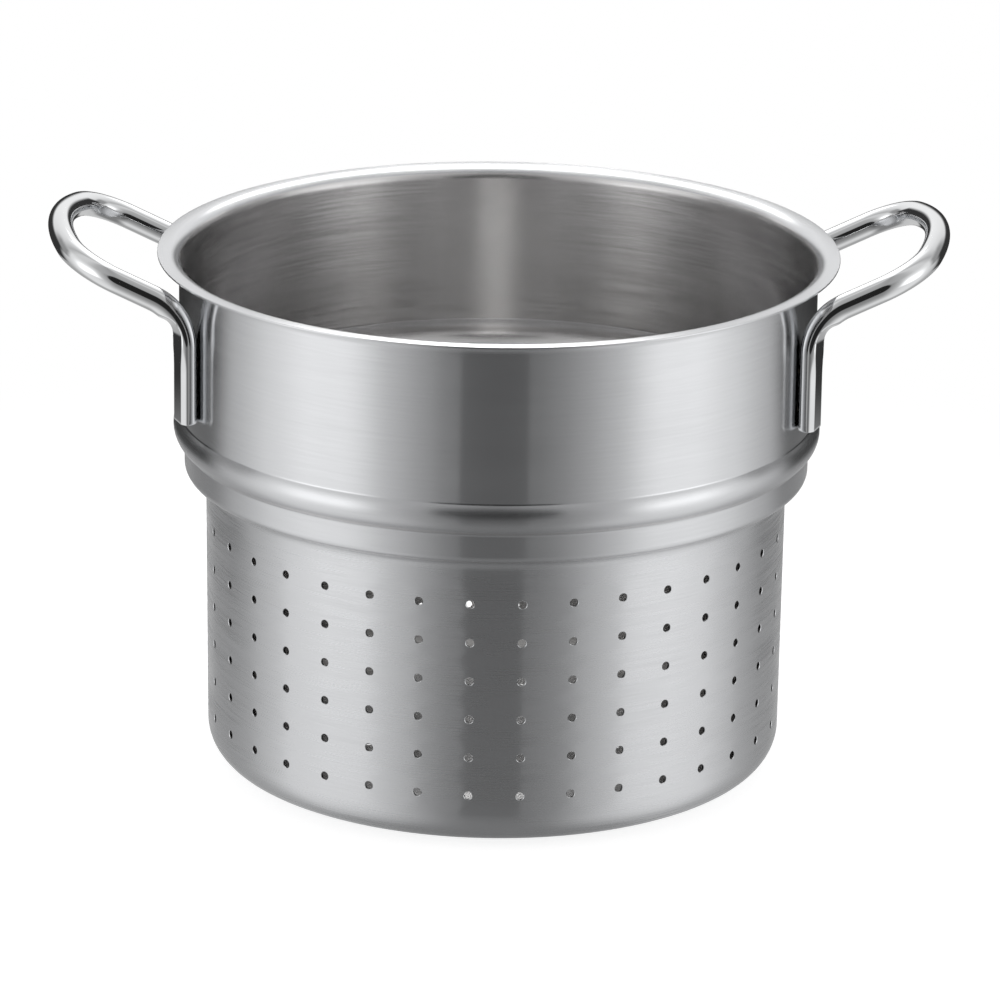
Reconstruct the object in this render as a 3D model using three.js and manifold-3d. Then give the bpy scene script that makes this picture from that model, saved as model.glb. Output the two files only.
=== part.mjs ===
// Perforated insert of a steamer pot: one deep-drawn steel shell with two welded rod handles.
// Millimetres, +Z up. The base stands on z = 0, the axis is Z, the handles point along +X and -X.
import * as THREE from 'three';
import { mergeVertices } from 'three/addons/utils/BufferGeometryUtils.js';
import Module from 'manifold-3d';

const wasm = await Module();
wasm.setup();

// Shell: sheet, upper wall and rim
const SHEET = 0.8;
const INNER_RADIUS = 120;        // upper wall inside, equal to the bore of the outer pot
const HEIGHT = 200;              // base to the top of the rim
const LIP_WIDTH = 4;             // flat outer part of the flared rim
const FLARE_RADIUS = 5;          // bend from the wall to the lip, on its upper face

// Shell: bead that rests on the outer pot's rim, and the step that centres the insert in the pot
const BEAD_TOP = 137.8;          // height of the crease between upper wall and bead
const BEAD_BULGE = 2.2;          // how far the bead stands out from the upper wall
const BEAD_RADIUS = 7.7;
const STEP_CLEARANCE = 1.2;      // radial play of the step in the outer pot
const STEP_BOTTOM = 114.2;       // height of the underside of the step
const STEP_EDGE_RADIUS = 3;

// Shell: perforated lower wall and base
const LOWER_TOP_RADIUS = 110.6;  // outside of the lower wall under the step
const LOWER_TAPER = 0.7;         // loss of radius from there to the base corner
const CORNER_RADIUS = 14;        // outside radius between lower wall and base

// Perforation
const HOLE_DIAMETER = 3.1;
const HOLE_COLUMNS = 36;
const HOLE_ROW_PITCH = 15;
const HOLE_ROW_LOW = 7;          // first row above the base corner
const HOLE_ROW_HIGH = 8;         // least distance from the last row to the step's fillet
const BASE_RING_PITCH = 24;
const BASE_RING_STEP = 6;        // holes that each base ring has more than the ring inside it
const BASE_RING_EDGE = 12;       // least distance from the last ring to the base corner

// Handles: bent round rod, legs pressed flat outside and coined to a narrow seat inside
const ROD_DIAMETER = 9.4;
const LEG_ANGLE = 21;            // degrees from the handle's axis to each leg, round the wall
const LEG_RISE = 7;              // leg's square end above the bead
const LEG_WIDTH = 12.4;          // rod spread across the wall by the press
const LEG_THICKNESS = 6.9;       // seat to pressed flat
const FLAT_WIDTH = 8.2;          // pressed flat, between its two pressed shoulders
const SHOULDER_ANGLE = 36;       // degrees from the flat to each shoulder
const SHOULDER_FADE = 60;        // radius with which a shoulder runs out up the leg
const SEAT_DEPTH = 0.4;          // rod removed by coining at the seat
const PRESS_RADIUS = 8;          // fillet where the pressed flat runs out under the arm
const BEND_RADIUS = 20;          // axis of the bend from leg to arm
const ARM_SLOPE = 25.4;          // degrees above the horizontal
const ARM_DROP = 12.9;           // rim to the point where leg and arm axes meet
const REACH = 49.2;              // upper wall to the outer side of the handle
const LOOP_CORNER_RADIUS = 22;   // rod axis, from each arm into the end
const LOOP_END_RADIUS = 90;      // rod axis, along the gently curved end

// Spot welds between each leg and the wall
const WELD_GAP = 0.4;            // wall to seat, filled by the weld nuggets
const WELD_CLEARANCE = 0.05;
const WELD_DIAMETER = 3.4;
const WELD_LOW = 0.25;           // places of the two welds, as shares of the straight leg from its end
const WELD_HIGH = 0.75;

// Facets
const LATHE_SEGMENTS = 2 * HOLE_COLUMNS;
const HOLE_SIDES = 6;
const ROD_SIDES = 10;
const ROD_STEPS = 46;
const WELD_SIDES = 8;
const FLATNESS = 0.0005;         // triangles that lie this flat together are joined

// Derived sizes
const WALL_RADIUS = INNER_RADIUS + SHEET;
const RIM_RADIUS = INNER_RADIUS + FLARE_RADIUS + LIP_WIDTH;
const STEP_RADIUS = INNER_RADIUS - STEP_CLEARANCE;
const STEP_FILLET_RADIUS = STEP_RADIUS - STEP_EDGE_RADIUS - LOWER_TOP_RADIUS;
const LOWER_TOP = STEP_BOTTOM - STEP_FILLET_RADIUS;
const LOWER_BOTTOM_RADIUS = LOWER_TOP_RADIUS - LOWER_TAPER;
const BASE_FLAT_RADIUS = LOWER_BOTTOM_RADIUS - CORNER_RADIUS;
const BEAD_CENTRE_RADIUS = WALL_RADIUS + BEAD_BULGE - BEAD_RADIUS;
const BEAD_HALF_HEIGHT = Math.sqrt(BEAD_RADIUS ** 2 - (BEAD_RADIUS - BEAD_BULGE) ** 2);
const BEAD_CENTRE = BEAD_TOP - BEAD_HALF_HEIGHT;
const SEAT_RADIUS = WALL_RADIUS + WELD_GAP;
const FLAT_RADIUS = SEAT_RADIUS + LEG_THICKNESS;
const LEG_RADIUS = SEAT_RADIUS - SEAT_DEPTH + ROD_DIAMETER / 2;
const LEG_BOTTOM = BEAD_TOP + LEG_RISE;
const ARM_MEETS_LEG = HEIGHT - ARM_DROP;
const BEND_RUN = BEND_RADIUS * Math.tan(Math.PI / 4 - THREE.MathUtils.degToRad(ARM_SLOPE) / 2);
const BEND_START = ARM_MEETS_LEG - BEND_RUN;

const steel = new THREE.MeshStandardMaterial({ color: 0xb4b6b8, roughness: 0.34, metalness: 1 });
const polished = new THREE.MeshStandardMaterial({ color: 0xd2d4d6, roughness: 0.1, metalness: 1 });
const weldSteel = new THREE.MeshStandardMaterial({ color: 0x8c8e90, roughness: 0.5, metalness: 1 });

const radians = THREE.MathUtils.degToRad;
const degrees = THREE.MathUtils.radToDeg;

// A geometry as a solid: shared corners joined, triangles with no area dropped.
function toSolid(geometry) {
  const bare = geometry.clone();
  bare.deleteAttribute('normal');
  bare.deleteAttribute('uv');
  const merged = mergeVertices(bare, 1e-4);
  const index = merged.index.array;
  const triangles = [];
  for (let i = 0; i < index.length; i += 3) {
    const [a, b, c] = [index[i], index[i + 1], index[i + 2]];
    if (a !== b && b !== c && c !== a) triangles.push(a, b, c);
  }
  const vertProperties = new Float32Array(merged.attributes.position.array);
  const triVerts = new Uint32Array(triangles);
  return new wasm.Manifold(new wasm.Mesh({ numProp: 3, vertProperties, triVerts }));
}

function toMesh(name, solid, material) {
  const { vertProperties, triVerts } = solid.simplify(FLATNESS).getMesh();
  const geometry = new THREE.BufferGeometry();
  geometry.setAttribute('position', new THREE.BufferAttribute(vertProperties, 3));
  geometry.setIndex(new THREE.BufferAttribute(triVerts, 1));
  geometry.computeVertexNormals();
  const mesh = new THREE.Mesh(geometry, material);
  mesh.name = name;
  return mesh;
}

// Points of a round stretch of the shell's profile, from one angle to another in degrees.
function arc(radius, height, size, from, to, pieces) {
  const points = [];
  for (let i = 0; i <= pieces; i += 1) {
    const angle = radians(from + ((to - from) * i) / pieces);
    points.push(new THREE.Vector2(radius + size * Math.cos(angle), height + size * Math.sin(angle)));
  }
  return points;
}

// One face of the sheet from the axis to the rim: the outside at depth 0, the inside at depth SHEET.
function sheetFace(depth) {
  const edgeCentre = STEP_RADIUS - STEP_EDGE_RADIUS;
  const edgeHeight = STEP_BOTTOM + STEP_EDGE_RADIUS;
  const beadSize = BEAD_RADIUS - depth;
  const beadAngle = (radius) => degrees(Math.acos((radius - depth - BEAD_CENTRE_RADIUS) / beadSize));
  const flareCentre = INNER_RADIUS + FLARE_RADIUS;
  const flareSize = FLARE_RADIUS - SHEET + depth;
  return [
    new THREE.Vector2(0, depth),
    ...arc(BASE_FLAT_RADIUS, CORNER_RADIUS, CORNER_RADIUS - depth, -90, 0, 3),
    ...arc(edgeCentre, LOWER_TOP, STEP_FILLET_RADIUS + depth, 180, 90, 2),
    ...arc(edgeCentre, edgeHeight, STEP_EDGE_RADIUS - depth, -90, 0, 2).slice(1),
    ...arc(BEAD_CENTRE_RADIUS, BEAD_CENTRE, beadSize, -beadAngle(STEP_RADIUS), beadAngle(WALL_RADIUS), 4),
    ...arc(flareCentre, HEIGHT - FLARE_RADIUS, flareSize, 180, 90, 3),
    new THREE.Vector2(RIM_RADIUS, HEIGHT - SHEET + depth),
  ];
}

function drillGeometry(length) {
  return new THREE.CylinderGeometry(HOLE_DIAMETER / 2, HOLE_DIAMETER / 2, length, HOLE_SIDES);
}

// Radial drills through the lower wall, each column in the middle of a flat of the lathe.
function wallDrills() {
  const firstRow = CORNER_RADIUS + HOLE_ROW_LOW;
  const rows = 1 + Math.floor((LOWER_TOP - HOLE_ROW_HIGH - firstRow) / HOLE_ROW_PITCH);
  const drill = toSolid(drillGeometry(2 * LOWER_TAPER + 8 * SHEET).rotateZ(Math.PI / 2));
  const drills = [];
  for (let column = 0; column < HOLE_COLUMNS; column += 1) {
    for (let row = 0; row < rows; row += 1) {
      const place = [LOWER_TOP_RADIUS - SHEET / 2, 0, firstRow + row * HOLE_ROW_PITCH];
      drills.push(drill.translate(place).rotate([0, 0, ((column + 0.5) * 360) / HOLE_COLUMNS]));
    }
  }
  return drills;
}

// Upright drills through the base: one in the middle, then rings.
function baseDrills() {
  const drill = toSolid(drillGeometry(4 * SHEET).rotateX(Math.PI / 2)).translate([0, 0, SHEET / 2]);
  const rings = Math.floor((BASE_FLAT_RADIUS - BASE_RING_EDGE) / BASE_RING_PITCH);
  const drills = [drill];
  for (let ring = 1; ring <= rings; ring += 1) {
    const count = ring * BASE_RING_STEP;
    for (let i = 0; i < count; i += 1) {
      drills.push(drill.translate([ring * BASE_RING_PITCH, 0, 0]).rotate([0, 0, (i * 360) / count]));
    }
  }
  return drills;
}

function makeShell() {
  const profile = [...sheetFace(0), ...sheetFace(SHEET).reverse()];
  const halfFlat = Math.PI / LATHE_SEGMENTS;
  const turned = new THREE.LatheGeometry(profile, LATHE_SEGMENTS, halfFlat).rotateX(Math.PI / 2);
  return toSolid(turned).subtract(wasm.Manifold.union([...wallDrills(), ...baseDrills()]));
}

// A round stretch of the rod: from one spoke of the circle towards another at right angles to it.
class ArcCurve extends THREE.Curve {
  constructor(centre, spoke, towards, angle) {
    super();
    Object.assign(this, { centre, spoke, towards, angle });
  }

  getPoint(t, target = new THREE.Vector3()) {
    const angle = this.angle * t;
    return target
      .copy(this.centre)
      .addScaledVector(this.spoke, Math.cos(angle))
      .addScaledVector(this.towards, Math.sin(angle));
  }
}

// Axis of the right handle's rod: front leg, bend, arm, looped end, then the same back to the rear leg.
function rodAxis() {
  const slope = radians(ARM_SLOPE);
  const along = new THREE.Vector3(Math.cos(slope), 0, Math.sin(slope));
  const across = new THREE.Vector3(0, 1, 0);
  const up = new THREE.Vector3(0, 0, 1);
  const out = new THREE.Vector3(1, 0, 0);
  const legX = LEG_RADIUS * Math.cos(radians(LEG_ANGLE));
  const legY = LEG_RADIUS * Math.sin(radians(LEG_ANGLE));
  const turn = Math.PI / 2 - slope;

  // Places in the plane of the arms: distance along them from the leg's axis, and across.
  const inLoop = (s, y) => new THREE.Vector3(legX, y, ARM_MEETS_LEG).addScaledVector(along, s);
  const loopEnd = (WALL_RADIUS + REACH - ROD_DIAMETER / 2 - legX) / Math.cos(slope);
  const cornerY = legY - LOOP_CORNER_RADIUS;
  const endCentre = loopEnd - LOOP_END_RADIUS;
  const cornerS = endCentre + Math.sqrt((LOOP_END_RADIUS - LOOP_CORNER_RADIUS) ** 2 - cornerY ** 2);
  const endAngle = Math.atan2(cornerY, cornerS - endCentre);
  const scaled = (vector, size) => vector.clone().multiplyScalar(size);
  const onEnd = (angle, size) =>
    scaled(along, size * Math.cos(angle)).addScaledVector(across, size * Math.sin(angle));

  const path = new THREE.CurvePath();
  const leg = (y) => [new THREE.Vector3(legX, y, LEG_BOTTOM), new THREE.Vector3(legX, y, BEND_START)];
  const bendCentre = (y) => new THREE.Vector3(legX + BEND_RADIUS, y, BEND_START);
  const arm = (y) => [inLoop(BEND_RUN, y), inLoop(cornerS, y)];
  const corner = (side) => inLoop(cornerS, side * cornerY);

  path.add(new THREE.LineCurve3(...leg(-legY)));
  path.add(new ArcCurve(bendCentre(-legY), scaled(out, -BEND_RADIUS), scaled(up, BEND_RADIUS), turn));
  path.add(new THREE.LineCurve3(...arm(-legY)));
  path.add(new ArcCurve(
    corner(-1),
    scaled(across, -LOOP_CORNER_RADIUS),
    scaled(along, LOOP_CORNER_RADIUS),
    Math.PI / 2 - endAngle,
  ));
  path.add(new ArcCurve(
    inLoop(endCentre, 0),
    onEnd(-endAngle, LOOP_END_RADIUS),
    onEnd(Math.PI / 2 - endAngle, LOOP_END_RADIUS),
    2 * endAngle,
  ));
  path.add(new ArcCurve(
    corner(1),
    onEnd(endAngle, LOOP_CORNER_RADIUS),
    onEnd(Math.PI / 2 + endAngle, LOOP_CORNER_RADIUS),
    Math.PI / 2 - endAngle,
  ));
  path.add(new THREE.LineCurve3(...arm(legY).reverse()));
  path.add(new ArcCurve(
    bendCentre(legY),
    scaled(out, -BEND_RADIUS * Math.cos(turn)).addScaledVector(up, BEND_RADIUS * Math.sin(turn)),
    scaled(out, -BEND_RADIUS * Math.sin(turn)).addScaledVector(up, -BEND_RADIUS * Math.cos(turn)),
    turn,
  ));
  path.add(new THREE.LineCurve3(...leg(legY).reverse()));
  return path;
}

// The rod along its axis: round in the arms and the end, spread to an oval where the legs are pressed.
function sweepRod() {
  const path = rodAxis();
  const { normals, binormals } = path.computeFrenetFrames(ROD_STEPS, false);
  const up = new THREE.Vector3(0, 0, 1);
  const corners = [];
  path.getSpacedPoints(ROD_STEPS).forEach((place, step) => {
    const across = new THREE.Vector3(0, 1, 0).applyAxisAngle(up, Math.sign(place.y) * radians(LEG_ANGLE));
    const pressed = 1 - THREE.MathUtils.smoothstep(place.z, BEND_START, ARM_MEETS_LEG);
    const spread = pressed * (LEG_WIDTH / ROD_DIAMETER - 1);
    for (let side = 0; side < ROD_SIDES; side += 1) {
      const angle = (2 * Math.PI * side) / ROD_SIDES;
      const spoke = normals[step].clone().multiplyScalar(Math.cos(angle))
        .addScaledVector(binormals[step], Math.sin(angle))
        .multiplyScalar(ROD_DIAMETER / 2);
      spoke.addScaledVector(across, spread * spoke.dot(across));
      corners.push(...spoke.add(place).toArray());
    }
  });

  const triangles = [];
  for (let step = 0; step < ROD_STEPS; step += 1) {
    for (let side = 0; side < ROD_SIDES; side += 1) {
      const here = step * ROD_SIDES + side;
      const next = step * ROD_SIDES + ((side + 1) % ROD_SIDES);
      triangles.push(here, next, next + ROD_SIDES, here, next + ROD_SIDES, here + ROD_SIDES);
    }
  }
  const last = ROD_STEPS * ROD_SIDES;
  for (let side = 1; side < ROD_SIDES - 1; side += 1) {
    triangles.push(0, side + 1, side, last, last + side, last + side + 1);
  }
  const rod = new THREE.BufferGeometry();
  rod.setAttribute('position', new THREE.Float32BufferAttribute(corners, 3));
  rod.setIndex(triangles);
  return toSolid(rod);
}

// Block that presses a leg's outer side: an upright face that curves out under the arm.
function pressBlock() {
  const slope = radians(ARM_SLOPE);
  const underArm = (radius) =>
    ARM_MEETS_LEG + (radius - LEG_RADIUS) * Math.tan(slope) - ROD_DIAMETER / 2 / Math.cos(slope);
  const flatTop = underArm(FLAT_RADIUS) - PRESS_RADIUS * Math.tan((Math.PI / 2 - slope) / 2);
  const outer = FLAT_RADIUS + PRESS_RADIUS + ROD_DIAMETER;
  const low = LEG_BOTTOM - ROD_DIAMETER;
  const shape = new THREE.Shape();
  shape.moveTo(outer, low);
  shape.lineTo(outer, underArm(outer));
  shape.absarc(FLAT_RADIUS + PRESS_RADIUS, flatTop, PRESS_RADIUS, Math.PI / 2 + slope, Math.PI, false);
  shape.lineTo(FLAT_RADIUS, low);
  return uprightBlock(shape);
}

// Block that presses one shoulder beside the flat, set off from the leg's axis. It fades out up the leg.
function shoulderBlock() {
  const angle = radians(SHOULDER_ANGLE);
  const face = (FLAT_RADIUS - LEG_RADIUS) * Math.cos(angle) + (FLAT_WIDTH / 2) * Math.sin(angle);
  const outer = LEG_WIDTH / 2;
  const low = LEG_BOTTOM - ROD_DIAMETER;
  const top = BEND_START - ROD_DIAMETER;
  const fade = Math.acos(1 - (outer - face) / SHOULDER_FADE);
  const shape = new THREE.Shape();
  shape.moveTo(outer, low);
  shape.lineTo(outer, top + SHOULDER_FADE * Math.sin(fade));
  shape.absarc(face + SHOULDER_FADE, top, SHOULDER_FADE, Math.PI - fade, Math.PI, false);
  shape.lineTo(face, low);
  return uprightBlock(shape);
}

// Block that coins a leg's inner side to a seat parallel with the wall.
function seatBlock() {
  const shape = new THREE.Shape();
  const inner = SEAT_RADIUS - ROD_DIAMETER;
  shape.moveTo(inner, LEG_BOTTOM - ROD_DIAMETER);
  shape.lineTo(SEAT_RADIUS, LEG_BOTTOM - ROD_DIAMETER);
  shape.lineTo(SEAT_RADIUS, ARM_MEETS_LEG);
  shape.lineTo(inner, ARM_MEETS_LEG);
  return uprightBlock(shape);
}

// A shape drawn in radius and height, given a width wider than the rod across the wall.
function uprightBlock(shape) {
  const width = 2 * ROD_DIAMETER;
  const block = new THREE.ExtrudeGeometry(shape, { depth: width, bevelEnabled: false, curveSegments: 4 });
  return toSolid(block.translate(0, 0, -width / 2).rotateX(Math.PI / 2));
}

function makeHandle() {
  let solid = sweepRod();
  for (const angle of [-LEG_ANGLE, LEG_ANGLE]) {
    solid = solid.subtract(pressBlock().rotate([0, 0, angle]));
    solid = solid.subtract(seatBlock().rotate([0, 0, angle]));
    for (const turn of [-SHOULDER_ANGLE, SHOULDER_ANGLE]) {
      const press = shoulderBlock().rotate([0, 0, turn]).translate([LEG_RADIUS, 0, 0]);
      solid = solid.subtract(press.rotate([0, 0, angle]));
    }
  }
  return solid;
}

function makeWeld(angle, height) {
  const thickness = WELD_GAP - 2 * WELD_CLEARANCE;
  const nugget = new THREE.CylinderGeometry(WELD_DIAMETER / 2, WELD_DIAMETER / 2, thickness, WELD_SIDES);
  const seated = toSolid(nugget.rotateZ(Math.PI / 2));
  return seated.translate([WALL_RADIUS + WELD_GAP / 2, 0, height]).rotate([0, 0, angle]);
}

const insert = new THREE.Group();
insert.name = 'steamer_insert';
insert.add(toMesh('basket_shell', makeShell(), steel));

for (const [side, turn] of [['right', 0], ['left', 180]]) {
  insert.add(toMesh(`handle_${side}`, makeHandle().rotate([0, 0, turn]), polished));
  const frontAngle = side === 'right' ? -LEG_ANGLE : LEG_ANGLE;
  for (const [leg, angle] of [['front', frontAngle], ['rear', -frontAngle]]) {
    for (const [level, share] of [['lower', WELD_LOW], ['upper', WELD_HIGH]]) {
      const weld = makeWeld(turn + angle, THREE.MathUtils.lerp(LEG_BOTTOM, BEND_START, share));
      insert.add(toMesh(`weld_${side}_${leg}_${level}`, weld, weldSteel));
    }
  }
}

export default insert;
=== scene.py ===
"""Steamer-pot insert: a brushed steel shell with punched holes and two polished rod handles."""
import math

import bmesh
import bpy
from mathutils import Matrix, Vector


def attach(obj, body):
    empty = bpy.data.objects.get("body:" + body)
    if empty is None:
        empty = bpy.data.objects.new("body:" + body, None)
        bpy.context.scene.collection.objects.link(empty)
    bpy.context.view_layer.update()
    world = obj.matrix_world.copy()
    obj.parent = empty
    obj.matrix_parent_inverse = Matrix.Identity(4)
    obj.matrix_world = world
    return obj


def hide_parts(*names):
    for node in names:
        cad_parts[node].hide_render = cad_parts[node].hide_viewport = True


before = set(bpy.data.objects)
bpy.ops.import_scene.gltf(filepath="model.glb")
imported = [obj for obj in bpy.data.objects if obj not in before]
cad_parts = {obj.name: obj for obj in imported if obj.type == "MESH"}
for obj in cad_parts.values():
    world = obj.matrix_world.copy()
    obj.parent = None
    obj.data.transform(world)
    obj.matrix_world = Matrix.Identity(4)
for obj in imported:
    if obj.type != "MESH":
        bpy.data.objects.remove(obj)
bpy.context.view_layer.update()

MM = 0.001

# Shell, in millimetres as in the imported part
SHEET = 0.8
INNER_RADIUS = 120.0
HEIGHT = 200.0
LIP_WIDTH = 4.0
FLARE_RADIUS = 5.0
EDGE_ROUND = 0.25
BEAD_TOP = 137.8
BEAD_BULGE = 2.2
BEAD_RADIUS = 7.7
CREASE_RADIUS = 1.3
STEP_CLEARANCE = 1.2
STEP_BOTTOM = 114.2
STEP_EDGE_RADIUS = 3.0
LOWER_TOP_RADIUS = 110.6
LOWER_TAPER = 0.7
CORNER_RADIUS = 14.0

# Punched holes
HOLE_RADIUS = 1.55
HOLE_EASE = 0.18
HOLE_COLUMNS = 36
HOLE_ROWS = 6
HOLE_ROW_PITCH = 15.0
HOLE_ROW_LOW = 7.0
HOLE_SIDES = 16
BASE_RINGS = 3
BASE_RING_PITCH = 24.0
BASE_RING_STEP = 6

# Handles: round rod, legs pressed wide with a flat and two shoulders outside, and coined inside
ROD_RADIUS = 4.7
LEG_ANGLE = 21.0
LEG_RISE = 7.0
LEG_WIDTH = 12.4
LEG_THICKNESS = 6.9
FLAT_WIDTH = 8.2
SHOULDER_ANGLE = 36.0
SHOULDER_FADE = 60.0
SEAT_DEPTH = 0.4
WELD_GAP = 0.4
PRESS_RADIUS = 8.0
PRESS_CRISPNESS = 60
LEG_END_EASE = 0.35
LEG_END_REACH = 4.5
BEND_RADIUS = 20.0
ARM_SLOPE = 25.4
ARM_DROP = 12.9
REACH = 49.2
LOOP_CORNER_RADIUS = 22.0
LOOP_END_RADIUS = 90.0

# Places that follow from these
WALL_RADIUS = INNER_RADIUS + SHEET
RIM_RADIUS = INNER_RADIUS + FLARE_RADIUS + LIP_WIDTH
STEP_RADIUS = INNER_RADIUS - STEP_CLEARANCE
STEP_FILLET_RADIUS = STEP_RADIUS - STEP_EDGE_RADIUS - LOWER_TOP_RADIUS
LOWER_TOP = STEP_BOTTOM - STEP_FILLET_RADIUS
BASE_FLAT_RADIUS = LOWER_TOP_RADIUS - LOWER_TAPER - CORNER_RADIUS
BEAD_CENTRE_RADIUS = WALL_RADIUS + BEAD_BULGE - BEAD_RADIUS
BEAD_CENTRE = BEAD_TOP - math.sqrt(BEAD_RADIUS ** 2 - (BEAD_RADIUS - BEAD_BULGE) ** 2)
FIRST_ROW = CORNER_RADIUS + HOLE_ROW_LOW
HOLES_BOTTOM = FIRST_ROW - HOLE_ROW_PITCH / 2
HOLES_TOP = HOLES_BOTTOM + HOLE_ROWS * HOLE_ROW_PITCH
SEGMENTS = 4 * HOLE_COLUMNS
WALL_SLOPE = LOWER_TAPER / (LOWER_TOP - CORNER_RADIUS)
SEAT_RADIUS = WALL_RADIUS + WELD_GAP
CLOSED_SEAT_RADIUS = WALL_RADIUS + 0.1
FLAT_RADIUS = SEAT_RADIUS + LEG_THICKNESS
LEG_RADIUS = SEAT_RADIUS - SEAT_DEPTH + ROD_RADIUS
LEG_BOTTOM = BEAD_TOP + LEG_RISE
ARM_MEETS_LEG = HEIGHT - ARM_DROP
BEND_RUN = BEND_RADIUS * math.tan(math.pi / 4 - math.radians(ARM_SLOPE) / 2)
BEND_START = ARM_MEETS_LEG - BEND_RUN

# Roughness of the shell's outside by height: satin up to the bead, finer above it, satin again at the rim
SHELL_FINISH = ((0, 0.25), (136, 0.25), (139, 0.18), (192, 0.18), (196, 0.22))

# Camera, fitted to the hole grid and the outline in the photograph
CAMERA_LENS = 232.3
CAMERA_DISTANCE = 2.469
CAMERA_ELEVATION = 18.014
CAMERA_ROLL = 0.799
CAMERA_TURN = 0.5
CAMERA_TARGET = Vector((0.0017, 0.0, 0.10066))

# Studio: a tent turned a little from the camera, and the camera's oval opening in it, in degrees
TENT_RADIUS = 650.0
TENT_CENTRE = 100.0
TENT_TURN = 2.0
OPENING_RISE = 20.0
OPENING_HALF_WIDTH = 21.0
OPENING_HALF_HEIGHT = 23.0

# Brightness of the tent by degrees round from the camera, beside the object and overhead
PANELS = (
    (0, 0.19), (12, 0.205), (20, 0.245), (28, 0.34), (38, 0.5), (47, 0.61), (56, 0.67), (66, 0.7), (75, 0.7),
    (85, 0.7), (94, 0.57), (104, 0.43), (113, 0.37), (123, 0.34), (133, 0.33), (143, 0.36), (153, 0.44),
    (162, 0.5), (180, 0.5),
)
CANOPY = (
    (0, 0.3), (40, 0.4), (60, 0.58), (80, 0.6), (100, 0.4), (122, 0.58), (148, 0.74), (170, 0.8), (180, 0.8),
)


def linear(hex_colour):
    """An sRGB hex colour as linear red, green, blue and alpha."""
    channels = [int(hex_colour[i:i + 2], 16) / 255 for i in (1, 3, 5)]
    return (*[c / 12.92 if c <= 0.04045 else ((c + 0.055) / 1.055) ** 2.4 for c in channels], 1.0)


def add_node(tree, kind, settings=None, inputs=None):
    """Adds a node, sets its properties, then fills its inputs with values, sockets or other nodes, of which
    it takes the first output in use. The setting stops fills a ramp with pairs of place and grey level."""
    node = tree.nodes.new(kind)
    for name, value in (settings or {}).items():
        if name == "stops":
            for _ in range(len(value) - 2):
                node.color_ramp.elements.new(0.5)
            for element, (place, level) in zip(node.color_ramp.elements, value):
                element.position = place
                element.color = (level, level, level, 1)
        else:
            setattr(node, name, value)
    for key, value in (inputs or {}).items():
        if isinstance(value, bpy.types.Node):
            value = next(socket for socket in value.outputs if socket.enabled)
        if isinstance(value, bpy.types.NodeSocket):
            tree.links.new(value, node.inputs[key])
        else:
            node.inputs[key].default_value = value
    return node


def new_material(name):
    """An empty node material with its output, ready for a shader."""
    material = bpy.data.materials.new(name)
    material.use_nodes = True
    tree = material.node_tree
    tree.nodes.clear()
    return material, tree


def grain_vector(tree, along, across):
    """Coordinates for lines that run round the axis: slow round it, fast along the profile (per metre)."""
    place = add_node(tree, "ShaderNodeTexCoord").outputs["Object"]
    parts = add_node(tree, "ShaderNodeSeparateXYZ", inputs={"Vector": place})
    flat = add_node(tree, "ShaderNodeVectorMath", {"operation": "MULTIPLY"}, {0: place, 1: (1, 1, 0)})
    radius = add_node(tree, "ShaderNodeVectorMath", {"operation": "LENGTH"}, {0: flat})
    spoke = add_node(tree, "ShaderNodeVectorMath", {"operation": "NORMALIZE"}, {0: flat})
    turned = add_node(tree, "ShaderNodeVectorMath", {"operation": "SCALE"}, {0: spoke, "Scale": along})
    profile = add_node(tree, "ShaderNodeMath", {"operation": "ADD"}, {
        0: radius.outputs["Value"], 1: parts.outputs["Z"]})
    fast = add_node(tree, "ShaderNodeMath", {"operation": "MULTIPLY"}, {0: profile, 1: across})
    lift = add_node(tree, "ShaderNodeCombineXYZ", inputs={"Z": fast})
    return add_node(tree, "ShaderNodeVectorMath", {"operation": "ADD"}, {0: turned, 1: lift})


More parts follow.
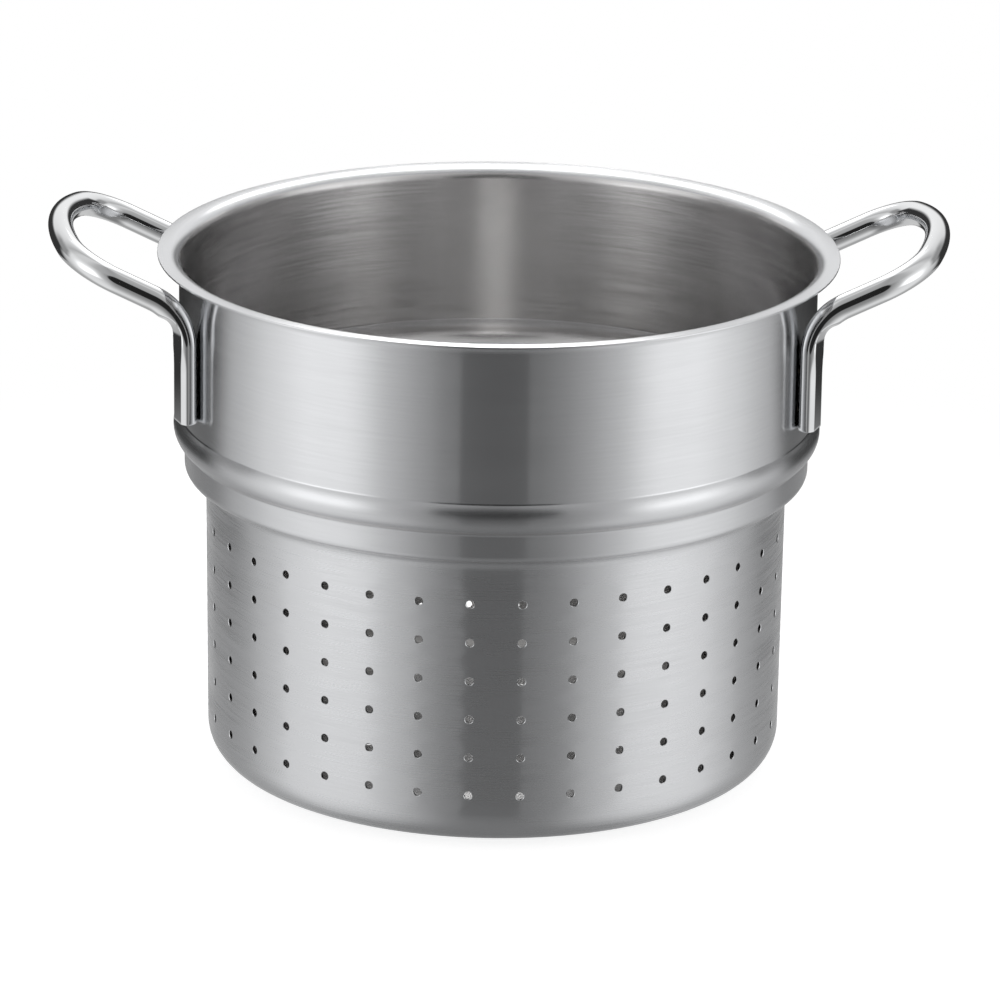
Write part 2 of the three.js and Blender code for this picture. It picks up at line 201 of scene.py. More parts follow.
def brushed_stainless_steel():
    """Deep-drawn stainless steel, brushed round its axis: reflections stay sharp from side to side and smear
    up and down. Fine lines run round it, plain on the inside and the punched wall and faint above the step.
    The inside below the step is left as drawn and duller, and painted darker there as painted shade. The torn
    sides of the holes are painted near black, as painted shade in the bores.
    The lines of a real belt are near 0.1 mm apart, drawn here at 0.8 mm so that they show."""
    material, tree = new_material("brushed stainless steel")
    place = add_node(tree, "ShaderNodeTexCoord").outputs["Object"]
    normal = add_node(tree, "ShaderNodeTexCoord").outputs["Normal"]
    level = add_node(tree, "ShaderNodeSeparateXYZ", inputs={"Vector": place}).outputs["Z"]
    facing = add_node(tree, "ShaderNodeVectorMath", {"operation": "DOT_PRODUCT"}, {0: normal, 1: place})
    outside = add_node(tree, "ShaderNodeMapRange", inputs={
        "Value": facing.outputs["Value"], "From Min": -5 * MM, "From Max": 5 * MM})
    below_step = add_node(tree, "ShaderNodeMapRange", inputs={
        "Value": level, "From Min": LOWER_TOP * MM, "From Max": STEP_BOTTOM * MM,
        "To Min": 1.0, "To Max": 0.0})

    lines = add_node(tree, "ShaderNodeTexNoise", inputs={
        "Vector": grain_vector(tree, 4.0, 1 / (0.8 * MM)), "Scale": 1.0, "Detail": 3.0, "Roughness": 0.6})
    streaks = add_node(tree, "ShaderNodeMapRange", inputs={
        "Value": lines, "From Min": 0.32, "From Max": 0.68})
    bands = add_node(tree, "ShaderNodeTexNoise", inputs={
        "Vector": grain_vector(tree, 2.5, 1 / (9 * MM)), "Scale": 1.0, "Detail": 2.0})

    # Tone: outside, inside above the step, painted shade inside below it and on the torn metal in the holes
    outer_tone = add_node(tree, "ShaderNodeMix", {"data_type": "RGBA"}, {
        0: streaks, 6: linear("#d7d8da"), 7: linear("#dadbdd")})
    upper_tone = add_node(tree, "ShaderNodeMix", {"data_type": "RGBA"}, {
        0: streaks, 6: linear("#e3e2e2"), 7: linear("#eae9e9")})
    # The inside below the step takes a darker tone: painted shade for the deep inside of the pot
    inner_tone_painted_shade = add_node(tree, "ShaderNodeMix", {"data_type": "RGBA"}, {
        0: below_step, 6: upper_tone, 7: linear("#b9b8b7")})
    sheet_tone = add_node(tree, "ShaderNodeMix", {"data_type": "RGBA"}, {
        0: outside, 6: inner_tone_painted_shade, 7: outer_tone})
    flat = add_node(tree, "ShaderNodeVectorMath", {"operation": "MULTIPLY"}, {0: place, 1: (1, 1, 0)})
    spoke = add_node(tree, "ShaderNodeVectorMath", {"operation": "NORMALIZE"}, {0: flat})
    outward = add_node(tree, "ShaderNodeVectorMath", {"operation": "DOT_PRODUCT"}, {0: normal, 1: spoke})
    steep = add_node(tree, "ShaderNodeMath", {"operation": "ABSOLUTE"}, {0: outward.outputs["Value"]})
    side_on = add_node(tree, "ShaderNodeMapRange", inputs={
        "Value": steep, "From Min": 0.3, "From Max": 0.5, "To Min": 1.0, "To Max": 0.0})
    from_middle = add_node(tree, "ShaderNodeMath", {"operation": "SUBTRACT"}, {
        0: level, 1: (HOLES_BOTTOM + HOLES_TOP) / 2 * MM})
    off_middle = add_node(tree, "ShaderNodeMath", {"operation": "ABSOLUTE"}, {0: from_middle})
    punched = add_node(tree, "ShaderNodeMath", {"operation": "LESS_THAN"}, {
        0: off_middle, 1: (HOLES_TOP - HOLES_BOTTOM - HOLE_ROW_PITCH / 2) / 2 * MM})
    # Mask of the holes' torn sides, which the tone below paints near black: painted shade in the bores
    hole_side_painted_shade = add_node(tree, "ShaderNodeMath", {"operation": "MULTIPLY"}, {0: side_on, 1: punched})
    tone = add_node(tree, "ShaderNodeMix", {"data_type": "RGBA"}, {
        0: hole_side_painted_shade, 6: sheet_tone, 7: linear("#252424")})

    # Finish: by height outside, duller below the step inside, with slow bands and the fine lines on top
    share = add_node(tree, "ShaderNodeMath", {"operation": "DIVIDE"}, {0: level, 1: HEIGHT * MM})
    outer_finish = add_node(tree, "ShaderNodeValToRGB", {
        "stops": [(height / HEIGHT, roughness) for height, roughness in SHELL_FINISH]}, {"Fac": share})
    inner_finish = add_node(tree, "ShaderNodeMapRange", inputs={
        "Value": below_step, "To Min": 0.215, "To Max": 0.28})
    finish = add_node(tree, "ShaderNodeMix", inputs={0: outside, 2: inner_finish, 3: outer_finish})
    uneven = add_node(tree, "ShaderNodeMapRange", inputs={
        "Value": bands, "From Min": 0.3, "From Max": 0.7, "To Min": -0.02, "To Max": 0.02})
    banded = add_node(tree, "ShaderNodeMath", {"operation": "ADD"}, {0: finish, 1: uneven})
    outer_depth = add_node(tree, "ShaderNodeMapRange", inputs={
        "Value": below_step, "To Min": 0.04, "To Max": 0.36})
    depth = add_node(tree, "ShaderNodeMix", inputs={0: outside, 2: 0.33, 3: outer_depth})
    sway = add_node(tree, "ShaderNodeMapRange", inputs={"Value": streaks, "To Min": -0.12, "To Max": 0.12})
    rough = add_node(tree, "ShaderNodeMath", {"operation": "MULTIPLY_ADD"}, {0: sway, 1: depth, 2: banded})
    bump = add_node(tree, "ShaderNodeBump", inputs={
        "Height": streaks, "Strength": depth, "Distance": 0.003 * MM})
    round_axis = add_node(tree, "ShaderNodeTangent", {"direction_type": "RADIAL", "axis": "Z"})
    steel = add_node(tree, "ShaderNodeBsdfPrincipled", inputs={
        "Base Color": tone, "Metallic": 1.0, "Roughness": rough, "Anisotropic": 1.0,
        "Anisotropic Rotation": 0.25, "Normal": bump, "Tangent": round_axis})
    add_node(tree, "ShaderNodeOutputMaterial", inputs={"Surface": steel})
    return material


def polished_stainless_steel():
    """Bent rod, buffed to a mirror: sharp reflections, broken only by faint buffing haze and wipe marks."""
    material, tree = new_material("polished stainless steel")
    place = add_node(tree, "ShaderNodeTexCoord").outputs["Object"]
    haze = add_node(tree, "ShaderNodeTexNoise", inputs={
        "Vector": place, "Scale": 1 / (18 * MM), "Detail": 4.0, "Roughness": 0.6})
    rough = add_node(tree, "ShaderNodeMapRange", inputs={
        "Value": haze, "From Min": 0.3, "From Max": 0.7, "To Min": 0.05, "To Max": 0.09})
    tone = add_node(tree, "ShaderNodeMix", {"data_type": "RGBA"}, {
        0: haze, 6: linear("#e2e3e4"), 7: linear("#ecedee")})
    steel = add_node(tree, "ShaderNodeBsdfPrincipled", inputs={
        "Base Color": tone, "Metallic": 1.0, "Roughness": rough})
    add_node(tree, "ShaderNodeOutputMaterial", inputs={"Surface": steel})
    return material


def weld_steel():
    """Spot-weld nuggets: grey fused steel with a straw-coloured heat tint in patches."""
    material, tree = new_material("fused weld steel")
    place = add_node(tree, "ShaderNodeTexCoord").outputs["Object"]
    tint = add_node(tree, "ShaderNodeTexNoise", inputs={
        "Vector": place, "Scale": 1 / (1.5 * MM), "Detail": 2.0})
    tone = add_node(tree, "ShaderNodeMix", {"data_type": "RGBA"}, {
        0: tint, 6: linear("#9a9894"), 7: linear("#b3a486")})
    steel = add_node(tree, "ShaderNodeBsdfPrincipled", inputs={
        "Base Color": tone, "Metallic": 1.0, "Roughness": 0.5})
    add_node(tree, "ShaderNodeOutputMaterial", inputs={"Surface": steel})
    return material


def arc(radius, height, size, start, stop, pieces):
    """Points (radius, height) along a round stretch of the profile, angles in degrees."""
    angles = [math.radians(start + (stop - start) * i / pieces) for i in range(pieces + 1)]
    return [(radius + size * math.cos(a), height + size * math.sin(a)) for a in angles]


def wall_radius(height):
    """Outside radius of the perforated lower wall at a height."""
    return LOWER_TOP_RADIUS - WALL_SLOPE * (LOWER_TOP - height)


def crease_centre(line_radius, side):
    """Centre of the round that eases the bead into the upright wall above it (side 1) or below it (-1)."""
    reach = BEAD_RADIUS + CREASE_RADIUS
    out = line_radius + CREASE_RADIUS - BEAD_CENTRE_RADIUS
    return BEAD_CENTRE_RADIUS + out, BEAD_CENTRE + side * math.sqrt(reach ** 2 - out ** 2)


def shoulder_face(depth):
    """One face of the sheet from the top of the holes to the rim: outside at depth 0, inside at SHEET."""
    edge_centre = STEP_RADIUS - STEP_EDGE_RADIUS
    under, over = crease_centre(STEP_RADIUS, -1), crease_centre(WALL_RADIUS, 1)
    bead_low, bead_high = (
        math.degrees(math.atan2(z - BEAD_CENTRE, r - BEAD_CENTRE_RADIUS)) for r, z in (under, over))
    crease_size = CREASE_RADIUS + depth
    flare_size = FLARE_RADIUS - SHEET + depth
    return [
        (wall_radius(HOLES_TOP) - depth, HOLES_TOP),
        *arc(edge_centre, LOWER_TOP, STEP_FILLET_RADIUS + depth, 180, 90, 10),
        *arc(edge_centre, STEP_BOTTOM + STEP_EDGE_RADIUS, STEP_EDGE_RADIUS - depth, -90, 0, 10)[1:],
        *arc(*under, crease_size, 180, bead_low + 180, 6),
        *arc(BEAD_CENTRE_RADIUS, BEAD_CENTRE, BEAD_RADIUS - depth, bead_low, bead_high, 20)[1:],
        *arc(*over, crease_size, bead_high + 180, 180, 6)[1:],
        *arc(INNER_RADIUS + FLARE_RADIUS, HEIGHT - FLARE_RADIUS, flare_size, 180, 90, 14),
        (RIM_RADIUS - EDGE_ROUND, HEIGHT - SHEET + depth),
    ]


def rim_edge():
    """The cut edge of the sheet at the rim, its two corners eased."""
    centre = RIM_RADIUS - EDGE_ROUND
    low = arc(centre, HEIGHT - SHEET + EDGE_ROUND, EDGE_ROUND, -90, 0, 4)[1:]
    high = arc(centre, HEIGHT - EDGE_ROUND, EDGE_ROUND, 0, 90, 4)[:-1]
    return low + high


def corner_face(depth):
    """One face of the sheet from the flat base round the corner to the bottom of the holes."""
    points = arc(BASE_FLAT_RADIUS, CORNER_RADIUS, CORNER_RADIUS - depth, -90, 0, 12)[:-1]
    return points + [(wall_radius(HOLES_BOTTOM) - depth, HOLES_BOTTOM)]


def turn_profile(mesh, profile):
    """Turns an open profile round the axis into quads, with corners every 360 / SEGMENTS degrees."""
    rings = []
    for radius, height in profile:
        ring = []
        for i in range(SEGMENTS):
            angle = 2 * math.pi * i / SEGMENTS
            place = (radius * math.sin(angle) * MM, -radius * math.cos(angle) * MM, height * MM)
            ring.append(mesh.verts.new(place))
        rings.append(ring)
    for lower, upper in zip(rings, rings[1:]):
        for i in range(SEGMENTS):
            j = (i + 1) % SEGMENTS
            mesh.faces.new((lower[i], lower[j], upper[j], upper[i]))


def hole_cell():
    """One punched hole in its piece of sheet, rolled out flat: x in degrees round the wall, y in millimetres
    of height and z in millimetres of depth. The punch leaves a small eased edge outside."""
    half_width = 180 / HOLE_COLUMNS
    half_height = HOLE_ROW_PITCH / 2
    degrees_per_mm = 180 / math.pi / wall_radius((HOLES_BOTTOM + HOLES_TOP) / 2)
    angles = [2 * math.pi * i / HOLE_SIDES for i in range(HOLE_SIDES)]

    def circle(radius, depth):
        return [(radius * degrees_per_mm * math.cos(a), radius * math.sin(a), depth) for a in angles]

    def border(depth):
        points = []
        for a in angles:
            reach = max(abs(math.cos(a)), abs(math.sin(a)))
            quarter_x = round(2.01 * math.cos(a) / reach) / 2
            quarter_y = round(2.01 * math.sin(a) / reach) / 2
            points.append((quarter_x * half_width, quarter_y * half_height, depth))
        return points

    loops = [
        border(0), circle(2.6 * HOLE_RADIUS, 0), circle(HOLE_RADIUS + HOLE_EASE, 0),
        circle(HOLE_RADIUS, HOLE_EASE), circle(HOLE_RADIUS, SHEET), border(SHEET),
    ]
    mesh = bmesh.new()
    rings = [[mesh.verts.new(point) for point in loop] for loop in loops]
    for first, second in zip(rings, rings[1:]):
        for i in range(HOLE_SIDES):
            j = (i + 1) % HOLE_SIDES
            mesh.faces.new((first[i], first[j], second[j], second[i]))
    return mesh


def mesh_object(name, mesh):
    """A bmesh as a new object in the scene."""
    data = bpy.data.meshes.new(name)
    mesh.to_mesh(data)
    mesh.free()
    piece = bpy.data.objects.new(name, data)
    bpy.context.scene.collection.objects.link(piece)
    return piece


def node_group(name, sizes):
    """An empty geometry node tree with a mesh and named numbers as inputs; returns it with its input node."""
    tree = bpy.data.node_groups.new(name, "GeometryNodeTree")
    tree.interface.new_socket("Geometry", in_out="INPUT", socket_type="NodeSocketGeometry")
    for label, value in sizes.items():
        kind = "NodeSocketInt" if isinstance(value, int) else "NodeSocketFloat"
        tree.interface.new_socket(label, in_out="INPUT", socket_type=kind)
    tree.interface.new_socket("Geometry", in_out="OUTPUT", socket_type="NodeSocketGeometry")
    return tree, tree.nodes.new("NodeGroupInput")


def grown(piece, tree, sizes):
    """Runs a node tree on a piece with its sizes set by socket identifier; leaves a plain mesh."""
    modifier = piece.modifiers.new(tree.name, "NODES")
    modifier.node_group = tree
    for item in tree.interface.items_tree:
        if item.in_out == "INPUT" and item.name in sizes:
            modifier[item.identifier] = sizes[item.name]
    shown = piece.evaluated_get(bpy.context.evaluated_depsgraph_get())
    result = bpy.data.meshes.new_from_object(shown)
    piece.modifiers.remove(modifier)
    piece.data = result
    return piece


def perforated_wall(steel):
    """Repeats the flat hole cell in columns and rows, then rolls the sheet round the axis to its taper."""
    sizes = {
        "Columns": HOLE_COLUMNS, "Rows": HOLE_ROWS, "Column Pitch": 360 / HOLE_COLUMNS,
        "Row Pitch": HOLE_ROW_PITCH, "Middle Height": (HOLES_BOTTOM + HOLES_TOP) / 2,
        "Middle Radius": wall_radius((HOLES_BOTTOM + HOLES_TOP) / 2), "Wall Slope": WALL_SLOPE,
    }
    tree, given = node_group("punched lower wall", sizes)
    last_column = add_node(tree, "ShaderNodeMath", {"operation": "SUBTRACT"}, {
        0: given.outputs["Columns"], 1: 1.0})
    last_row = add_node(tree, "ShaderNodeMath", {"operation": "SUBTRACT"}, {0: given.outputs["Rows"], 1: 1.0})
    width = add_node(tree, "ShaderNodeMath", {"operation": "MULTIPLY"}, {
        0: last_column, 1: given.outputs["Column Pitch"]})
    height = add_node(tree, "ShaderNodeMath", {"operation": "MULTIPLY"}, {
        0: last_row, 1: given.outputs["Row Pitch"]})
    grid = add_node(tree, "GeometryNodeMeshGrid", inputs={
        "Size X": width, "Size Y": height,
        "Vertices X": given.outputs["Columns"], "Vertices Y": given.outputs["Rows"]})
    copies = add_node(tree, "GeometryNodeInstanceOnPoints", inputs={
        "Points": grid, "Instance": given.outputs["Geometry"]})
    flat = add_node(tree, "GeometryNodeRealizeInstances", inputs={"Geometry": copies})
    sheet = add_node(tree, "GeometryNodeMergeByDistance", inputs={"Geometry": flat, "Distance": 0.001})
    spot = add_node(tree, "ShaderNodeSeparateXYZ", inputs={
        "Vector": add_node(tree, "GeometryNodeInputPosition")})
    outside = add_node(tree, "ShaderNodeMath", {"operation": "MULTIPLY_ADD"}, {
        0: spot.outputs["Y"], 1: given.outputs["Wall Slope"], 2: given.outputs["Middle Radius"]})
    radius = add_node(tree, "ShaderNodeMath", {"operation": "SUBTRACT"}, {0: outside, 1: spot.outputs["Z"]})
    level = add_node(tree, "ShaderNodeMath", {"operation": "ADD"}, {
        0: spot.outputs["Y"], 1: given.outputs["Middle Height"]})
    unrolled = add_node(tree, "ShaderNodeCombineXYZ", inputs={"Y": radius, "Z": level})
    turn = add_node(tree, "ShaderNodeMath", {"operation": "RADIANS"}, {0: spot.outputs["X"]})
    rolled = add_node(tree, "ShaderNodeVectorRotate", {"rotation_type": "Z_AXIS"}, {
        "Vector": unrolled, "Angle": turn})
    metres = add_node(tree, "ShaderNodeVectorMath", {"operation": "SCALE"}, {0: rolled, "Scale": MM})
    wall = add_node(tree, "GeometryNodeSetPosition", inputs={"Geometry": sheet, "Position": metres})
    seamless = add_node(tree, "GeometryNodeMergeByDistance", inputs={
        "Geometry": wall, "Distance": 0.005 * MM})
    finished = add_node(tree, "GeometryNodeSetMaterial", inputs={"Geometry": seamless, "Material": steel})
    add_node(tree, "NodeGroupOutput", inputs={"Geometry": finished})
    return grown(mesh_object("punched_wall", hole_cell()), tree, sizes)


def perforated_base(steel):
    """Fills the flat base round rings of hole outlines on both faces, and lines each hole with its barrel."""
    sizes = {
        "Flat Radius": BASE_FLAT_RADIUS * MM, "Sheet": SHEET * MM, "Hole Radius": HOLE_RADIUS * MM,
        "Border Corners": SEGMENTS, "Hole Sides": HOLE_SIDES,
    }
    tree, given = node_group("punched base", sizes)
    centres = add_node(tree, "GeometryNodeMeshToPoints", inputs={"Mesh": given.outputs["Geometry"]})
    border = add_node(tree, "GeometryNodeCurvePrimitiveCircle", inputs={
        "Resolution": given.outputs["Border Corners"], "Radius": given.outputs["Flat Radius"]})
    outline = add_node(tree, "GeometryNodeCurvePrimitiveCircle", inputs={
        "Resolution": given.outputs["Hole Sides"], "Radius": given.outputs["Hole Radius"]})
    outlines = add_node(tree, "GeometryNodeInstanceOnPoints", inputs={"Points": centres, "Instance": outline})
    holes = add_node(tree, "GeometryNodeRealizeInstances", inputs={"Geometry": outlines})
    drawing = add_node(tree, "GeometryNodeJoinGeometry", inputs={"Geometry": border})
    tree.links.new(holes.outputs["Geometry"], drawing.inputs["Geometry"])
    plate = add_node(tree, "GeometryNodeFillCurve", inputs={"Curve": drawing})
    rise = add_node(tree, "ShaderNodeCombineXYZ", inputs={"Z": given.outputs["Sheet"]})
    upper = add_node(tree, "GeometryNodeTransform", inputs={"Geometry": plate, "Translation": rise})
    lower = add_node(tree, "GeometryNodeFlipFaces", inputs={"Mesh": plate})
    edges = add_node(tree, "GeometryNodeCurveToMesh", inputs={"Curve": holes})
    barrels = add_node(tree, "GeometryNodeExtrudeMesh", {"mode": "EDGES"}, {
        "Mesh": edges, "Offset": rise, "Offset Scale": 1.0})
    whole = add_node(tree, "GeometryNodeJoinGeometry", inputs={"Geometry": upper})
    tree.links.new(lower.outputs["Mesh"], whole.inputs["Geometry"])
    tree.links.new(barrels.outputs["Mesh"], whole.inputs["Geometry"])
    closed = add_node(tree, "GeometryNodeMergeByDistance", inputs={"Geometry": whole, "Distance": 0.005 * MM})
    plain = add_node(tree, "GeometryNodeRealizeInstances", inputs={"Geometry": closed})
    finished = add_node(tree, "GeometryNodeSetMaterial", inputs={"Geometry": plain, "Material": steel})
    add_node(tree, "NodeGroupOutput", inputs={"Geometry": finished})

    places = bmesh.new()
    places.verts.new((0, 0, 0))
    for ring_number in range(1, BASE_RINGS + 1):
        count = BASE_RING_STEP * ring_number
        for i in range(count):
            angle = 2 * math.pi * i / count
            radius = ring_number * BASE_RING_PITCH * MM
            places.verts.new((radius * math.cos(angle), radius * math.sin(angle), 0))
    return grown(mesh_object("punched_base", places), tree, sizes)


def finish_mesh(piece, material, sharp_angle):
    """Merges seams, turns faces outwards, smooths the shading and keeps edges over the angle sharp."""
    mesh = bmesh.new()
    mesh.from_mesh(piece.data)
    bmesh.ops.remove_doubles(mesh, verts=mesh.verts, dist=0.008 * MM)
    bmesh.ops.recalc_face_normals(mesh, faces=mesh.faces)
    for face in mesh.faces:
        face.smooth = True
        face.material_index = 0
    for edge in mesh.edges:
        edge.smooth = len(edge.link_faces) == 2 and edge.calc_face_angle(0) < math.radians(sharp_angle)
    mesh.to_mesh(piece.data)
    mesh.free()
    piece.data.materials.clear()
    piece.data.materials.append(material)


def make_shell(steel):
    """The drawn shell in one skin: punched wall and base, corner, step, bead, upper wall and rim."""
    mesh = bmesh.new()
    turn_profile(mesh, shoulder_face(0) + rim_edge() + shoulder_face(SHEET)[::-1])
    turn_profile(mesh, corner_face(0))
    turn_profile(mesh, corner_face(SHEET))
    for part in (perforated_wall(steel), perforated_base(steel)):
        mesh.from_mesh(part.data)
        bpy.data.objects.remove(part)
    shell = mesh_object("drawn_shell", mesh)
    finish_mesh(shell, steel, 32)
    return shell


def rod_stations():
    """Places and directions along the right handle's axis, from the front leg's end to the rear leg's end."""
    slope = math.radians(ARM_SLOPE)
    along = Vector((math.cos(slope), 0, math.sin(slope)))
    leg_x = LEG_RADIUS * math.cos(math.radians(LEG_ANGLE))
    leg_y = LEG_RADIUS * math.sin(math.radians(LEG_ANGLE))
    turn = math.pi / 2 - slope
    loop_end = (WALL_RADIUS + REACH - ROD_RADIUS - leg_x) / math.cos(slope)
    corner_y = leg_y - LOOP_CORNER_RADIUS
    end_centre = loop_end - LOOP_END_RADIUS
    corner_s = end_centre + math.sqrt((LOOP_END_RADIUS - LOOP_CORNER_RADIUS) ** 2 - corner_y ** 2)
    end_angle = math.atan2(corner_y, corner_s - end_centre)

    def in_loop(s, y):
        return Vector((leg_x, y, ARM_MEETS_LEG)) + along * s

    half = []
    for i in range(33):
        half.append(Vector((leg_x, -leg_y, LEG_BOTTOM + (BEND_START - LEG_BOTTOM) * i / 32)))
    for i in range(1, 29):
        angle = turn * i / 28
        centre = Vector((leg_x + BEND_RADIUS, -leg_y, BEND_START))
        half.append(centre + BEND_RADIUS * Vector((-math.cos(angle), 0, math.sin(angle))))
    for i in range(1, 9):
        half.append(in_loop(BEND_RUN + (corner_s - BEND_RUN) * i / 8, -leg_y))
    for i in range(1, 25):
        angle = (math.pi / 2 - end_angle) * i / 24
        half.append(in_loop(
            corner_s + LOOP_CORNER_RADIUS * math.sin(angle),
            -corner_y - LOOP_CORNER_RADIUS * math.cos(angle)))
    for i in range(1, 19):
        angle = end_angle * (1 - i / 18)
        half.append(in_loop(
            end_centre + LOOP_END_RADIUS * math.cos(angle), -LOOP_END_RADIUS * math.sin(angle)))
    other = [Vector((p.x, -p.y, p.z)) for p in reversed(half[:-1])]
    places = half + other
    directions = []
    for i, place in enumerate(places):
        before = places[max(i - 1, 0)]
        after = places[min(i + 1, len(places) - 1)]
        directions.append((after - before).normalized())
    directions[0] = Vector((0, 0, 1))
    directions[-1] = Vector((0, 0, -1))
    return places, directions


def press_depth(centre, outward, spoke):
    """Distance from the rod's axis to the pressing tool along an outward direction in the rod's section.
    The tool is an upright flat that curves out under the arm."""
    slope = math.radians(ARM_SLOPE)

    def under_arm(radius):
        return ARM_MEETS_LEG + (radius - LEG_RADIUS) * math.tan(slope) - ROD_RADIUS / math.cos(slope)

    tool_radius = FLAT_RADIUS + PRESS_RADIUS
    tool_height = under_arm(FLAT_RADIUS) - PRESS_RADIUS * math.tan((math.pi / 2 - slope) / 2)

    def in_tool(point):
        radius = point.dot(spoke)
        if radius < FLAT_RADIUS or point.z > under_arm(radius):
            return False
        right, up = radius - tool_radius, point.z - tool_height
        in_corner = right < 0 < up and right * math.cos(slope) + up * math.sin(slope) < 0
        return not in_corner or math.hypot(right, up) < PRESS_RADIUS

    reach = 0.0
    step = 0.02
    while reach < 1.3 * ROD_RADIUS and not in_tool(centre + outward * reach):
        reach += step
    return reach


def shoulder_depth(height):
    """Distance from the leg's axis to the pressed shoulders, which fade out up the leg."""
    angle = math.radians(SHOULDER_ANGLE)
    face = (FLAT_RADIUS - LEG_RADIUS) * math.cos(angle) + FLAT_WIDTH / 2 * math.sin(angle)
    past = min(max(height - (BEND_START - 2 * ROD_RADIUS), 0.0), 0.5 * SHOULDER_FADE)
    return face + SHOULDER_FADE - math.sqrt(SHOULDER_FADE ** 2 - past ** 2)


def rod_section(centre, direction, first, second, spoke, sides):
    """Outline of the rod at a station: a circle, which on the legs is spread to an oval and cut by the press
    outside and the seat inside, with slightly rounded edges."""
    flat = spoke - direction * spoke.dot(direction)
    on_leg = flat.length > 0.2 and centre.x < LEG_RADIUS + BEND_RADIUS
    across = Vector((-spoke.y, spoke.x, 0))
    share = min(max((centre.z - BEND_START) / (ARM_MEETS_LEG - BEND_START), 0.0), 1.0)
    spread = (LEG_WIDTH / (2 * ROD_RADIUS) - 1) * (1 - share * share * (3 - 2 * share))
    faces = []
    if on_leg:
        flat.normalize()
        faces.append((flat, press_depth(centre, flat, spoke)))
        faces.append((-flat, max(centre.dot(spoke) - CLOSED_SEAT_RADIUS, 0.1) / max(flat.dot(spoke), 0.2)))
        from_axis = centre - spoke * LEG_RADIUS
        for turn in (-SHOULDER_ANGLE, SHOULDER_ANGLE):
            shoulder = spoke * math.cos(math.radians(turn)) + across * math.sin(math.radians(turn))
            if centre.z < ARM_MEETS_LEG:
                faces.append((shoulder, shoulder_depth(centre.z) - from_axis.dot(shoulder)))
    points = []
    for i in range(sides):
        angle = 2 * math.pi * i / sides
        ray = (first * math.cos(angle) + second * math.sin(angle)) * ROD_RADIUS
        ray += across * spread * ray.dot(across)
        crowding = 1.0
        for facing, depth in faces:
            if ray.dot(facing) > 0:
                crowding += (ray.dot(facing) / depth) ** PRESS_CRISPNESS
        points.append(centre + ray * crowding ** (-1 / PRESS_CRISPNESS))
    return points


def make_handle(name, side, steel):
    """One rod handle, swept along its axis with square-cut legs whose end edges are eased."""
    sides = 96
    places, directions = rod_stations()
    leg_angles = [math.radians(angle) for angle in (-LEG_ANGLE, LEG_ANGLE)]
    spokes = [Vector((math.cos(angle), math.sin(angle), 0)) for angle in leg_angles]
    mesh = bmesh.new()
    rings = []
    first = Vector((1, 0, 0))
    for place, direction in zip(places, directions):
        first = (first - direction * first.dot(direction)).normalized()
        second = direction.cross(first)
        spoke = spokes[0] if place.y < 0 else spokes[1]
        rings.append(rod_section(place, direction, first, second, spoke, sides))
    ends = []
    for ring, direction in ((rings[0], directions[0]), (rings[-1], -directions[-1])):
        middle = sum(ring, Vector()) / sides
        eased = []
        for inset, lift in ((0.3, 0.3), (1.0, 0.0)):
            shrink = 1 - LEG_END_EASE * inset / LEG_END_REACH
            raised = direction * LEG_END_EASE * lift
            eased.append([middle + (point - middle) * shrink + raised for point in ring])
        ends.append(eased)
        for point in ring:
            point += direction * LEG_END_EASE
    rings = [ends[0][1], ends[0][0]] + rings + [ends[1][0], ends[1][1]]
    turn = Matrix.Rotation(0 if side > 0 else math.pi, 3, "Z")
    corners = [[mesh.verts.new(turn @ point * MM) for point in ring] for ring in rings]
    for lower, upper in zip(corners, corners[1:]):
        for i in range(sides):
            j = (i + 1) % sides
            mesh.faces.new((lower[i], lower[j], upper[j], upper[i]))
    mesh.faces.new(corners[0])
    mesh.faces.new(corners[-1])
    handle = mesh_object(name, mesh)
    finish_mesh(handle, steel, 40)
    return handle


